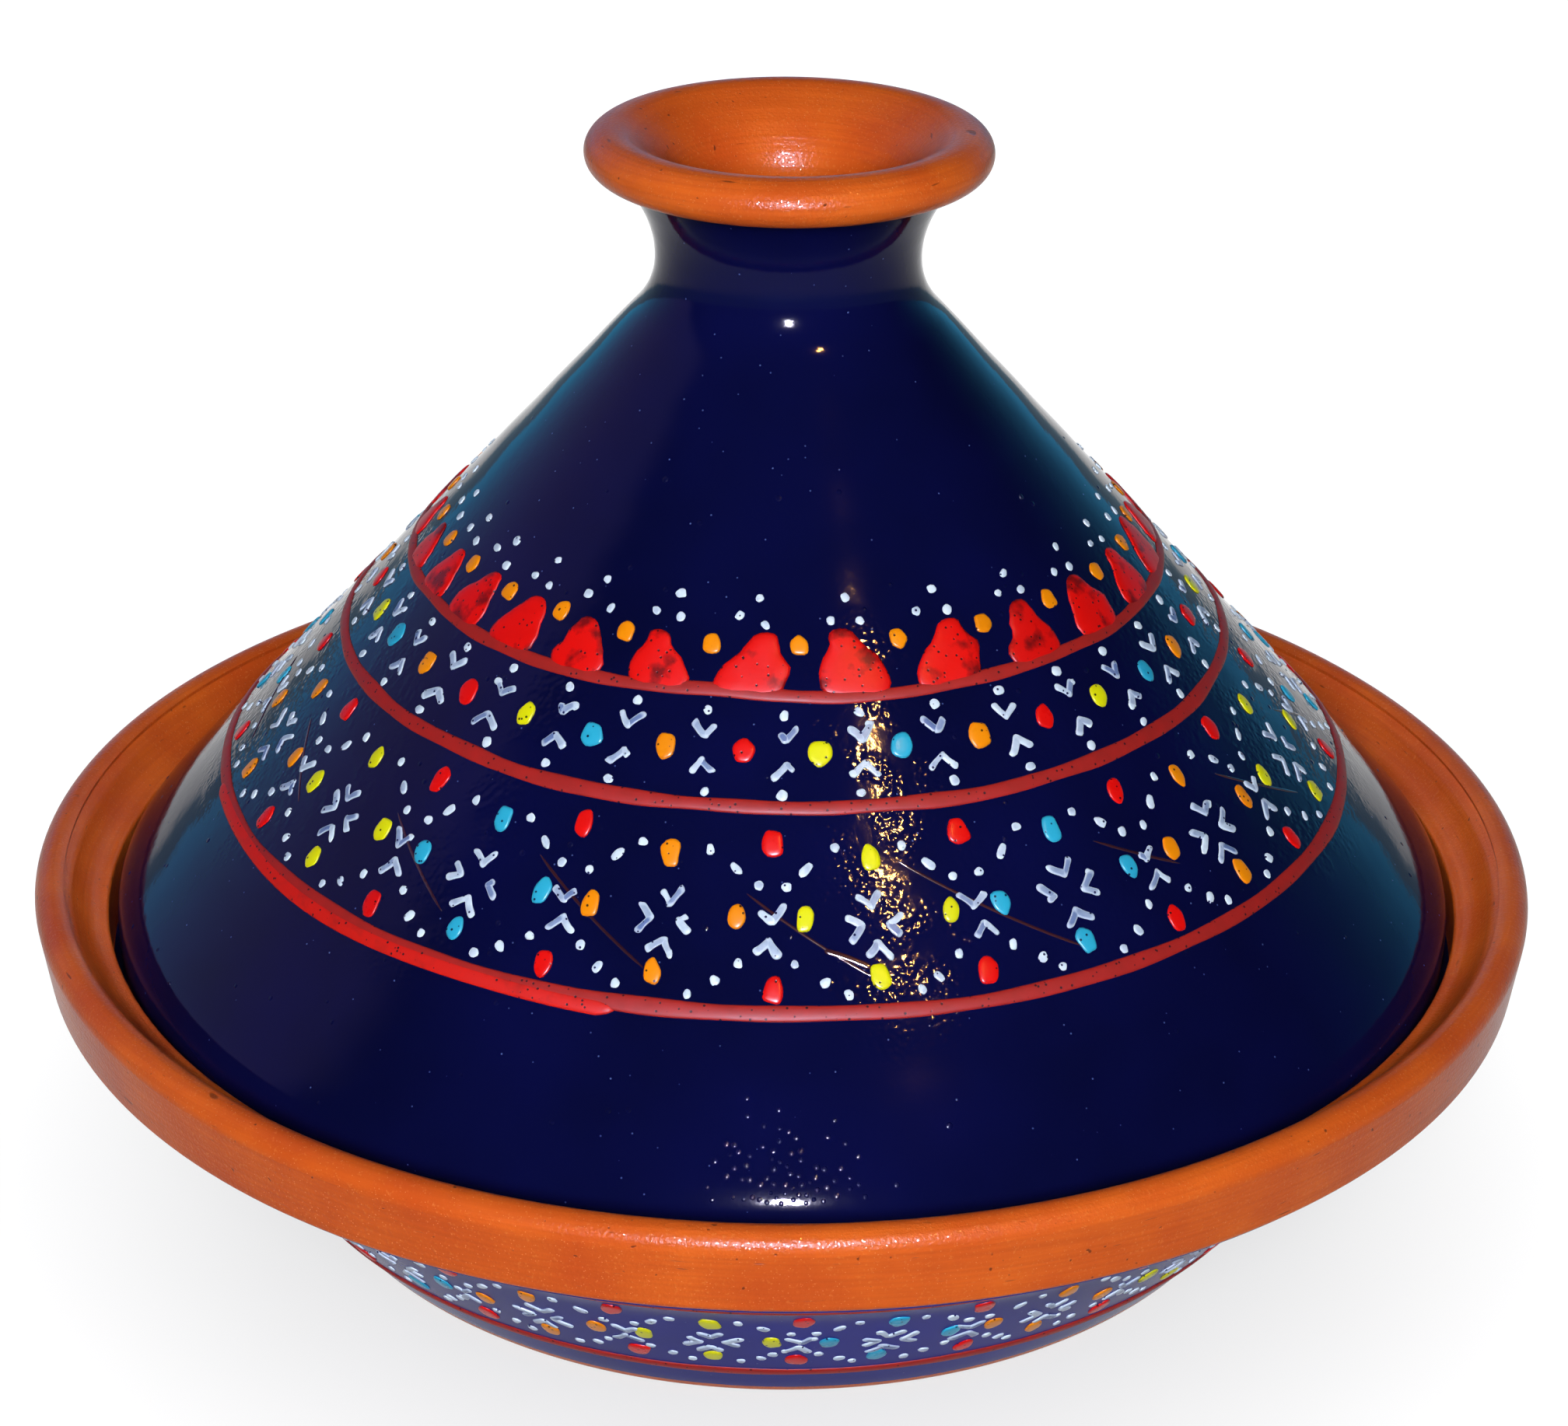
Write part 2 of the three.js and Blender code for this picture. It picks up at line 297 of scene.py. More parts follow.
lid_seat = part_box("lid_clay")[0].z / MM
lid_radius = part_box("lid_clay")[1].x / MM
knob_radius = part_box("knob_clay")[1].x / MM
knob_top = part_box("knob_clay")[1].z / MM
roll_centre = (knob_radius - ROLL_WIDTH, knob_top - ROLL_HEIGHT)
cone_top = (NECK_RADIUS, lid_seat + CONE_HEIGHT)
shoulder = (lid_radius, lid_seat + EDGE_HEIGHT)
cone_way = np.array(cone_top) - shoulder
cone_way /= np.linalg.norm(cone_way)
shoulder_run = SHOULDER_RUN / -cone_way[0]
neck_end = arc(roll_centre, ROLL_WIDTH, ROLL_HEIGHT + 0.3, ROLL_SEAM, ROLL_SEAM, 1)[0]
neck_waist = (NECK_RADIUS, cone_top[1] + NECK_RISE)
flare = np.array((NECK_RADIUS, (neck_waist[1] + neck_end[1]) / 2))
flare = (*flare, flare[1] - neck_waist[1], np.linalg.norm(neck_end - flare))

lid_outside = np.vstack((
    outline((lid_radius, lid_seat + 2.5), (*shoulder, SHOULDER_RISE, shoulder_run),
            (*cone_top, NECK_ROUND, NECK_RISE), neck_waist)[:-1],
    outline(neck_waist, flare, neck_end)[1:-1],
))
lid_outside = finger_rings(lid_outside, spacing=17, depth=0.08)
print("lid outline", round(running_length(lid_outside)[-1], 1), "mm long")

# %% Lid pieces
WIPED_EDGE = 0.6  # bare clay left where the seat was wiped before firing
CEILING_HEIGHT = 131  # from the seat to the flat top of the hollow
lid_inner = lid_radius - WALL_THICKNESS
ceiling = lid_seat + CEILING_HEIGHT
cone_inner = np.array(shoulder) + np.array((-cone_way[1], cone_way[0])) * WALL_THICKNESS
inner_corner = cone_inner + cone_way * (lid_inner - cone_inner[0]) / cone_way[0]
inner_top = cone_inner + cone_way * (ceiling - cone_inner[1]) / cone_way[1]
lid_inside = outline((0, ceiling), (*inner_top, 5), (*inner_corner, 12, 7), (lid_inner, lid_seat + 1.2))
lid_joint = cone_top[1] - 1
lid_clay_outside = moved_in(lid_outside, COAT_RISE)
lid_shell = turned("lid_shell", np.vstack((
    finger_rings(lid_inside, spacing=8, depth=0.5),
    outline((lid_inner, lid_seat + 1.2), (lid_inner, lid_seat, 1.1), (lid_radius - COAT_RISE, lid_seat, 0.5),
            (lid_radius - COAT_RISE, lid_seat + 2))[1:],
    lid_clay_outside[lid_clay_outside[:, 1] < lid_joint],
    [(NECK_RADIUS + 1.2, lid_joint), (0, lid_joint)],
)))
lid_coat = turned("lid_cone_glaze", coat(np.vstack(([(lid_radius, lid_seat + WIPED_EDGE)], lid_outside))))

CUP_FLOOR, CUP_WALL = 5.7, 6.5  # clay under the cup and round it
cup_floor = lid_joint + CUP_FLOOR
cup_side = NECK_RADIUS - CUP_WALL
roll = arc(roll_centre, ROLL_WIDTH, ROLL_HEIGHT, ROLL_SEAM - 360, ROLL_LIP, 40)
fall = (roll[-1] - roll[-2]) / (roll[-2] - roll[-1])[0]
cup_bend = roll[-1] + fall * (roll[-1][0] - cup_side)
cup_inside = outline(roll[-1], (*cup_bend, np.linalg.norm(cup_bend - roll[-1]), 10),
                     (cup_side, cup_floor, 6), (0, cup_floor))
neck_clay = lid_clay_outside[lid_clay_outside[:, 1] > lid_joint]
knob_cup = turned("knob_cup", np.vstack((
    [(0, lid_joint + 0.3), (NECK_RADIUS + 1, lid_joint + 0.3)],
    neck_clay[1:],
    roll,
    finger_rings(cup_inside, spacing=3.2, depth=0.07)[1:],
)))
print("lid pieces:", lid_shell.name, lid_coat.name, knob_cup.name)

# %% [markdown]
# ## Painting on a curved skin
# The painter works on the glaze with a loaded brush, so each mark is a small raised cushion of enamel. A texture
# could show the colour, but not the relief that catches the light, so each mark is a mesh. Its outline is drawn flat
# in millimetres, then laid on the skin: across becomes an angle round the axis, and up becomes a length
# along the outline. Two numbers go with every point for the colour later: how near it is to the mark's edge,
# and how heavily the brush was loaded.

# %% Skins and marks
SINK = 0.25  # how far a mark reaches into the glaze, in mm
# Sections of a cushion of enamel and of a blister: shares of its width, and of its height there.
DOME = ((1, -SINK), (1, 0.25), (0.93, 0.62), (0.8, 0.86), (0.5, 1))
BLISTER = ((1, -SINK), (1, 0), (0.8, 0.36), (0.55, 0.7), (0.28, 0.92))
DROP_RISE, OVAL_RISE, DOT_RISE, STROKE_RISE, LINE_RISE = 0.5, 0.42, 0.3, 0.33, 0.4  # how high the enamel stands
hand = random.Random(27)


def near(value, spread):
    return value + hand.uniform(-spread, spread)


def skin_of(points):
    points = spaced(points, 0.4)
    out = moved_in(points, -1) - points
    return running_length(points), points, out


def on_skin(skin, angle, s, rise):
    """Places in metres for angles in radians, lengths along the skin in mm, and a rise in mm above it."""
    length, points, out = skin
    r, z, out_r, out_z = (np.interp(s, length, column) for column in (*points.T, *out.T))
    r = r + rise * out_r
    return np.column_stack((r * np.sin(angle), -r * np.cos(angle), z + rise * out_z)) * MM


def radius_at(skin, s):
    return float(np.interp(s, skin[0], skin[1][:, 0]))


def new_pile():
    return {"points": [], "faces": [], "edge": [], "load": []}


def dab(pile, skin, angle, s, shape, height, load=None, dome=DOME):
    """Adds one cushion, of enamel or glaze: shape is its outline in mm round its middle, seen from outside."""
    n, first = len(shape), len(pile["points"])
    radius = radius_at(skin, s)
    for share, rise in dome:
        lift = rise if rise < 0 else rise * height
        pile["points"].extend(on_skin(skin, angle + shape[:, 0] * share / radius, s + shape[:, 1] * share, lift))
    pile["points"].extend(on_skin(skin, np.array([angle]), np.array([s]), height))
    for k in range(len(dome) - 1):
        for i in range(n):
            a, b = first + k * n + i, first + k * n + (i + 1) % n
            pile["faces"].append((a, b, b + n, a + n))
    last, top = first + (len(dome) - 1) * n, first + len(dome) * n
    pile["faces"].extend((last + i, last + (i + 1) % n, top) for i in range(n))
    pile["faces"].append(tuple(first + i for i in reversed(range(n))))
    pile["edge"].extend(np.repeat([share for share, _ in dome], n).tolist() + [0])
    pile["load"].extend([hand.random() if load is None else load] * (n * len(dome) + 1))


def trail(pile, skin, angles, s, width, height, closed, load=0.5):
    """Adds a brushed line through places on the skin; an open one is rounded off at its ends."""
    across_steps = np.array((-1, -1, -0.85, -0.5, 0, 0.5, 0.85, 1, 1))
    rises = np.array((-SINK, 0.2, 0.62, 0.9, 1, 0.9, 0.62, 0.2, -SINK))
    n, m, first = len(angles), len(rises), len(pile["points"])
    radius = np.interp(s, skin[0], skin[1][:, 0])
    way = np.column_stack((np.gradient(angles) * radius, np.gradient(s)))
    way /= np.linalg.norm(way, axis=1)[:, None]
    for i in range(n):
        offset = across_steps * width[i] / 2
        lift = np.where(rises < 0, rises, rises * height * min(1, width[i] / width.max() * 1.5))
        place = angles[i] - way[i, 1] * offset / radius[i], s[i] + way[i, 0] * offset
        pile["points"].extend(on_skin(skin, *place, lift))
        pile["edge"].extend(np.where(across_steps > 0, across_steps, -0.6 * across_steps))
        pile["load"].extend([load] * m)
    for i in range(n if closed else n - 1):
        low, high = first + i * m, first + (i + 1) % n * m
        pile["faces"].extend((low + k, high + k, high + (k + 1) % m, low + (k + 1) % m) for k in range(m))
    if not closed:
        pile["faces"].append(tuple(first + k for k in range(m)))
        pile["faces"].append(tuple(first + (n - 1) * m + k for k in reversed(range(m))))


def lay_pile(name, pile):
    thing = make_object(name, pile["points"], pile["faces"])
    for kind in ("edge", "load"):
        layer = thing.data.attributes.new(kind, "FLOAT", "POINT")
        layer.data.foreach_set("value", np.array(pile[kind], np.float32))
    return thing


lid_skin = skin_of(lid_outside)
bowl_skin = skin_of(np.vstack(([(foot_radius, 0)], dish_outside)))
print("lid skin", round(lid_skin[0][-1], 1), "mm, bowl skin", round(bowl_skin[0][-1], 1), "mm")

# %% Shapes of single marks
def uneven(points, amount):
    """Moves an outline a little in and out, as a wet mark settles."""
    turn = np.linspace(0, 2 * pi, len(points), endpoint=False)
    swell = 1 + sum(amount * hand.uniform(0.3, 1) * np.cos(k * turn + hand.uniform(0, 6.3)) for k in (2, 3, 5))
    return points * swell[:, None]


def tilted(points, tilt):
    c, s = cos(radians(tilt)), sin(radians(tilt))
    return points @ np.array(((c, s), (-s, c)))


def oval(width, height, sides=20, tilt=12):
    """A dab of a round brush: fuller at one end, flattened on a side, never a true ellipse."""
    turn = np.linspace(0, 2 * pi, sides, endpoint=False)
    square, egg = hand.uniform(0.72, 1.05), hand.uniform(-0.2, 0.2)
    x, y = (np.sign(wave) * abs(wave) ** square for wave in (np.cos(turn), np.sin(turn)))
    points = np.column_stack((x * (1 + egg * y) * width / 2, y * height / 2))
    return tilted(uneven(points, 0.05), near(0, tilt))


def stroke(length, width, slant):
    """A short pull of the brush round the origin: round, heavy ends, a pinched middle and a slight bend."""
    reach = (length + width) / 2
    x = -reach * np.cos(np.linspace(0, pi, 12))
    cap = np.clip((abs(x) - length / 2) / (width / 2), 0, 1)
    pinch, heavy, bend = hand.uniform(0, 0.28), hand.uniform(-0.2, 0.2), hand.uniform(-0.09, 0.09) * length
    middle = 1 - (x / reach) ** 2
    half = width / 2 * np.sqrt(1 - cap ** 2) * (1 - pinch * middle) * (1 + heavy * x / reach)
    low, high = np.column_stack((x, bend * middle - half)), np.column_stack((x, bend * middle + half))
    return tilted(uneven(np.vstack((low, high[-2:0:-1])), 0.05), slant)


def drop(width, height):
    """A bell made of a few loads of the brush: a flat foot, lumpy shoulders and a tip that wanders."""
    t = np.array((0, 0.02, 0.07, 0.15, 0.25, 0.36, 0.47, 0.58, 0.68, 0.78, 0.87, 0.94, 0.985))
    bell = np.array((0.48, 0.7, 0.87, 0.97, 1, 0.96, 0.87, 0.76, 0.64, 0.52, 0.43, 0.35, 0.2))
    tip = near(0.04, 0.22) * width
    sides = []
    for way in (1, -1):
        lump = near(0, 0.3) * np.exp(-((t - hand.uniform(0.45, 0.85)) / 0.12) ** 2)
        settle_line = np.array([near(0, 0.035) for _ in t])
        half = width / 2 * bell * (1 + lump + settle_line)
        foot = np.where(t < 0.05, near(0, 0.03), 0)
        sides.append(np.column_stack((way * half + tip * t ** 1.4, (t + foot) * height)))
    return np.vstack((sides[0], [(tip, height)], sides[1][::-1])) - (tip * 0.28, height * 0.4)


print("marks: oval, stroke and drop")

# %% [markdown]
# ## The pattern
# The ornament is a traditional one and is laid out by counting round the cone: 27 red drops standing on the first
# line, 35 coloured ovals in the upper field with a small white V and its mirror image between each pair, and 17
# lozenges in the lower field, each with a white flower of four chevrons. The painter spaces by eye, so each row
# drifts by a degree or so and no two marks are alike. The bowl repeats the lozenges, closer together.

# %% Pattern of the lid
COLOURS = ("yellow", "turquoise", "orange", "red")
DROPS, OVALS = 27, 35
DROP_TURN, OVAL_TURN = -1, 5.3  # degrees from the front where the counting begins
# Rows along the skin of the lid, in mm from its edge.
DROP_FOOT, ORANGE_ROW, OVAL_ROW = 105.9, 116.2, 95.7
UPPER_V, LOWER_V, UPPER_DOTS, LOWER_DOTS = 97.9, 93.1, 102.9, 87.7
TRIPLET = ((0.6, 124.8), (-2.7, 121.1), (1.9, 120.1))  # degrees from the drop, and row
lid_marks = {colour: new_pile() for colour in (*COLOURS, "white", "drops")}
lid_white = lid_marks["white"]


def spot(pile, skin, bearing, s, width, height):
    """One coloured oval, set a little off its place, as a painter's is."""
    dab(pile, skin, radians(near(bearing, 0.5)), near(s, 0.4), oval(width, height), OVAL_RISE)


def dot(pile, skin, bearing, s, size=1.75, longer=1.15, tilt=90):
    """A touch of the brush's tip, loaded full and so nearly opaque."""
    shape = oval(near(size, 0.3), near(size * longer, 0.35), 14, tilt)
    dab(pile, skin, radians(near(bearing, 0.3)), near(s, 0.35), shape, DOT_RISE, hand.uniform(0.8, 1))


def chevron(pile, skin, bearing, s, opens, scale=1):
    """Two strokes that meet in a point and open towards an angle, in degrees from the right."""
    angle, s = radians(near(bearing, 0.4)), near(s, 0.4)
    turn, spread = near(0, 9), near(43, 6)
    slip = hand.random() < 0.12
    for side in (-1, 1):
        length = near(2.6, 0.6) * scale * (0.35 if slip and side > 0 else 1)
        width = near(1.5, 0.2) * scale
        way = radians(opens + turn + side * near(spread, 6))
        middle = np.array((cos(way), sin(way))) * (length / 2 + width * 0.1)
        place = angle + middle[0] / radius_at(skin, s), s + middle[1]
        shape = stroke(length, width, degrees(way))
        dab(pile, skin, *place, shape, near(STROKE_RISE, 0.05), hand.uniform(0, 0.75))
        if hand.random() < 0.13:
            dot(pile, skin, degrees(angle + 2 * middle[0] / radius_at(skin, s)), s + 2 * middle[1], 1.4 * scale)


def drop_angle(k):
    """Degrees of a drop from the front; the spacing stretches and tightens as the painter goes round."""
    even = DROP_TURN + k * 360 / DROPS
    return even - 1 - 3.4 * cos(radians(2.2 * (even + 18)))


for k in range(-13, 14):
    here, after = drop_angle(k), drop_angle(k + 1) if k < 13 else drop_angle(-13) + 360
    size = near(1, 0.05) * (1 + 0.15 * cos(radians(1.6 * (here - 16))))
    tall = near(11.8, 1) * size
    dab(lid_marks["drops"], lid_skin, radians(here), DROP_FOOT + 0.4 * tall, drop(11.3 * size, tall), DROP_RISE)
    spot(lid_marks["orange"], lid_skin, (here + after) / 2, ORANGE_ROW, 3.4, 3.9)
    for across, s in TRIPLET:
        dot(lid_white, lid_skin, near(here + across, 0.5), near(s, 0.4), 1.6)

for k in range(-17, 18):
    here = OVAL_TURN + k * 360 / OVALS
    spot(lid_marks[COLOURS[k % 4]], lid_skin, near(here, 0.4), near(OVAL_ROW, 0.5), near(3.9, 0.5), near(4.9, 0.4))
    between = here + 180 / OVALS
    chevron(lid_white, lid_skin, between, UPPER_V, 90)
    chevron(lid_white, lid_skin, between, LOWER_V, 270)
    dot(lid_white, lid_skin, between, UPPER_DOTS)
    dot(lid_white, lid_skin, near(between, 1.5), LOWER_DOTS)
print("upper rows:", {name: len(pile["faces"]) for name, pile in lid_marks.items()})

# %% Lozenges of the lid and the bowl
# Places in a lozenge: shares of its width from the middle and of its height, then an opening or a length.
FLOWER = ((0, 0.54, 90), (-0.08, 0.42, 180), (0.08, 0.42, 0), (0, 0.295, 270))
PETALS = ((0, 0.89), (0, 0.06), (-0.354, 0.47), (0.354, 0.47))
UPPER_EDGE = ((0.18, 0.955, 1.1), (0.31, 0.82, 1.75), (0.43, 0.695, 1.1))
LOWER_EDGE = ((0.13, 0.16, 1.1), (0.24, 0.03, 1.35), (0.34, -0.064, 1.1))
EDGE_SLANT = 38  # degrees by which the longer dots lean along the lozenge's edge


def lozenge(marks, skin, middle, step, rows, colour, scale):
    """One lozenge: a flower of chevrons with four ovals round it, and the marks where it meets the next one."""
    top, bottom = rows
    white, corner = marks["white"], middle + step / 2

    def row(share):
        return bottom + share * (top - bottom)

    for out, share in PETALS:
        spot(marks[colour], skin, middle + out * step, row(share), near(3.3, 0.3) * scale, near(4.9, 0.3) * scale)
    for out, share, opens in FLOWER:
        chevron(white, skin, middle + out * step, row(share), opens, scale)
    for share in (1, 0):
        spot(marks["red"], skin, corner, row(share), near(3.7, 0.3) * scale, near(5.2, 0.3) * scale)
    chevron(white, skin, corner, row(0.46), 90, scale)
    chevron(white, skin, corner, row(0.338), 270, scale)
    for start, edge, lean in ((middle, UPPER_EDGE, 1), (corner, LOWER_EDGE, -1)):
        for out, share, longer in edge:
            for way in (-1, 1):
                shape = oval(near(1.65, 0.25) * scale, near(1.65 * longer, 0.25) * scale, 14, 10)
                shape = tilted(shape, lean * way * EDGE_SLANT * (longer > 1.2))
                place = radians(near(start + way * out * step, 0.35)), near(row(share), 0.35)
                dab(white, skin, *place, shape, DOT_RISE, hand.uniform(0.6, 1))


LID_LOZENGES, LID_TURN, LID_ROWS = 17, 9.4, (78.4, 51.8)
step = 360 / LID_LOZENGES
for k in range(-8, 9):
    lozenge(lid_marks, lid_skin, LID_TURN + k * step, step, LID_ROWS, COLOURS[k % 3], 1)

BOWL_LOZENGES, BOWL_TURN, BOWL_ROWS, BOWL_SCALE = 23, -5.9, (44.2, 21), 1.1
bowl_marks = {colour: new_pile() for colour in (*COLOURS, "white")}
step = 360 / BOWL_LOZENGES
for k in range(-11, 12):
    lozenge(bowl_marks, bowl_skin, BOWL_TURN + k * step, step, BOWL_ROWS, COLOURS[k % 3], BOWL_SCALE)
print("lozenges:", LID_LOZENGES, "on the lid and", BOWL_LOZENGES, "on the bowl")

# %% [markdown]
# ## Painted lines
# Each line is pulled with a loaded brush while the pot turns, so it is one raised band whose height on the cone
# wavers by less than a millimetre. The lowest line of the lid was started and ended on the left, and
# there the two ends lie over each other and make it wider.

# %% Lines
def line_length(skin, node):
    """How far along the skin a packed line lies."""
    low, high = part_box(node)
    return float(np.interp((low.z + high.z) / 2 / MM, skin[1][:, 1], skin[0]))


def pulled_line(name, skin, s, width, waver, rise, pile):
    """A closed line; waver is how far it strays up and down, and rise how far it climbs at the front, in mm."""
    turn = np.linspace(-pi, pi, 480, endpoint=False)
    drift = sum(hand.uniform(0.4, 1) * np.sin(n * turn + hand.uniform(0, 6.3)) / n ** 0.5 for n in (3, 5, 8, 13, 19))
    swell = 1 + sum(0.05 * np.sin(n * turn + hand.uniform(0, 6.3)) for n in (4, 9, 17, 31))
    strayed = s + waver * drift / abs(drift).max() + rise * np.exp(-((turn + 0.1) / 0.25) ** 2)
    trail(pile, skin, turn, strayed, width * swell, LINE_RISE, True, 0.25)
    return lay_pile(name, pile)


OVERLAP = (-78, -15)  # degrees from the front between which the two ends lie over each other
overlap = new_pile()
overlap_turn = np.radians(np.linspace(*OVERLAP, 120))
from_end = np.minimum(np.degrees(overlap_turn) - OVERLAP[0], OVERLAP[1] - np.degrees(overlap_turn))
overlap_width = 3.1 * np.sqrt(np.clip(from_end / 1.6, 0.02, 1))
lower_line = line_length(lid_skin, "lid_lower_line")
overlap_s = lower_line - 1.2 + 0.3 * np.sin(overlap_turn * 9)
trail(overlap, lid_skin, overlap_turn, overlap_s, overlap_width, 0.5, False, 1)

LINES = (  # name, packed line, width, waver, climb at the front, and the pile that it goes into
    ("lid_drop_line", "lid_upper_line", 2.5, 0.7, 1.3, new_pile()),
    ("lid_field_line", "lid_middle_line", 2.8, 0.35, 0, new_pile()),
    ("lid_edge_line", "lid_lower_line", 2.9, 0.3, 0, overlap),
    ("bowl_rim_line", "dish_upper_line", 2.6, 0.3, 0, new_pile()),
    ("bowl_foot_line", "dish_lower_line", 3.2, 0.3, 0, new_pile()),
)
lines = {}
for name, node, width, waver, rise, pile in LINES:
    skin = lid_skin if node.startswith("lid") else bowl_skin
    lines[node] = pulled_line(name, skin, line_length(skin, node), width, waver, rise, pile)
print("lines at", round(lower_line, 1), "mm and above")

# %% [markdown]
# ## Guide lines under the glaze
# Before glazing, the potter scratched slanting guides for the lozenges into the clay. The glaze has filled them,
# and they show only as faint ridges that catch the light, brownish in patches. They are thin trails
# of glaze. On one of them the clay had torn up, and the glaze lies over the burr as a thicker ridge.

# %% Guide lines
GUIDE_TOP, GUIDE_FALL = 75, 23  # mm along the skin
BURR_START, BURR_SWEEP = 4.1, 4.4  # a thick burr on one guide, in degrees from the front
BURR_TOP, BURR_FALL = 58.6, (2.4, 1.1)  # mm along the skin; it falls evenly, then more steeply
guides = new_pile()
step = 360 / LID_LOZENGES
for k in range(-8, 9):
    start = radians(LID_TURN + k * step + near(2, 1.5))
    first, last = hand.uniform(0, 0.3), hand.uniform(0.55, 0.95)
    share = np.linspace(first, last, 60)
    fade = np.sqrt(np.clip(np.minimum(share - first, last - share) * 12, 0.03, 1))
    angles = start + share * radians(near(step * 0.9, 2))
    trail(guides, lid_skin, angles, near(GUIDE_TOP, 1) - share * near(GUIDE_FALL, 2), 0.55 * fade, 0.14, False)
share = np.linspace(0, 1, 40)
fade = np.sqrt(np.clip(np.minimum(share, 1 - share) * 12, 0.03, 1))
burr_s = BURR_TOP - BURR_FALL[0] * share - BURR_FALL[1] * share ** 2
trail(guides, lid_skin, np.radians(BURR_START + share * BURR_SWEEP), burr_s, 1.1 * fade, 0.2, False)
guide_lines = lay_pile("lid_guide_lines", guides)
print("guide lines:", LID_LOZENGES)

# %% [markdown]
# ## Blisters in the glaze
# Gas that leaves the clay in the fire lifts the melt in tiny domes, less than a millimetre wide, most of them where
# the glaze ran thick above the edge. They are too low to be seen by themselves, but each one mirrors the lamp, and
# together they break the highlight up into sparks. They are modelled, because a spark needs a true curve.

# %% Blisters
FRONT_BLISTERS, OTHER_BLISTERS, BURR_BLISTERS = 150, 220, 16
BLISTER_GAP = 1.25  # mm between the middles of two neighbours
BLISTER_SIZES, BLISTER_RISES = (0.35, 0.6), (0.15, 0.24)  # radius in mm, and height as a share of it
FRONT_MIDDLE, FRONT_SPREAD = 0.3, 2.4  # degrees
THICK_START, THICK_SPREAD = 13, 6  # mm along the skin where the glaze ran thick
OTHER_SPAN = (14, 150)  # mm along the skin for those all round
fire = random.Random(5)
blisters = new_pile()
turn = np.linspace(0, 2 * pi, 16, endpoint=False)
risen = []
for k in range(FRONT_BLISTERS + OTHER_BLISTERS + BURR_BLISTERS):
    if k < FRONT_BLISTERS:
        angle, s = fire.gauss(FRONT_MIDDLE, FRONT_SPREAD), THICK_START + abs(fire.gauss(0, THICK_SPREAD))
    elif k < FRONT_BLISTERS + OTHER_BLISTERS:
        angle, s = fire.uniform(-180, 180), fire.uniform(*OTHER_SPAN)
    else:
        share = fire.random()
        angle, s = BURR_START + share * BURR_SWEEP, BURR_TOP - sum(BURR_FALL) * share + fire.gauss(0, 0.5)
    size = fire.uniform(*BLISTER_SIZES)
    middle = np.array((radians(angle) * radius_at(lid_skin, s), s))
    if any(np.linalg.norm(middle - other) < BLISTER_GAP for other in risen):
        continue
    risen.append(middle)
    shape = np.column_stack((np.cos(turn), np.sin(turn))) * size
    dab(blisters, lid_skin, radians(angle), s, shape, size * fire.uniform(*BLISTER_RISES), 0.5, BLISTER)
glaze_blisters = lay_pile("lid_glaze_blisters", blisters)
print("blisters:", len(risen))

# %% [markdown]
# ## Colour helpers
# Colours are written as they look on a screen, and the shader needs them in linear light. One small function
# adds a node with its settings and its links, so that a material reads as a list of what it is made of.

# %% Colour helpers
CERAMIC_IOR = 1.5  # fired clay, glaze and enamel alike


def linear(code):
    """A #rrggbb screen colour as the linear colour that a shader takes."""
    parts = [int(code[i:i + 2], 16) / 255 for i in (1, 3, 5)]
    return (*(c / 12.92 if c <= 0.04045 else ((c + 0.055) / 1.055) ** 2.4 for c in parts), 1)


def feed(node, inputs):
    """Gives a node its inputs, each of them a value, a #rrggbb colour or another node's output."""
    for name, value in inputs.items():
        if isinstance(value, bpy.types.NodeSocket):
            node.id_data.links.new(value, node.inputs[name])  # id_data is the tree that holds the node
        else:
            node.inputs[name].default_value = linear(value) if isinstance(value, str) else value


def add(tree, kind, inputs, output=0, **settings):
    """Adds a node and gives back one of its outputs; kind is its type without the word ShaderNode."""
    node = tree.nodes.new("ShaderNode" + kind)
    for name, value in settings.items():
        setattr(node, name, value)
    feed(node, inputs)
    return node.outputs[output]


def new_material(name):
    material = bpy.data.materials.new(name)
    material.use_nodes = True
    tree = material.node_tree
    place = add(tree, "TexCoord", {}, "Object")
    return material, tree, tree.nodes["Principled BSDF"], place


def per_mm(size):
    """Scale of a pattern whose features are this many mm wide."""
    return 1 / (size * MM)


print("terracotta in linear light:", [round(c, 3) for c in linear("#c8602a")])
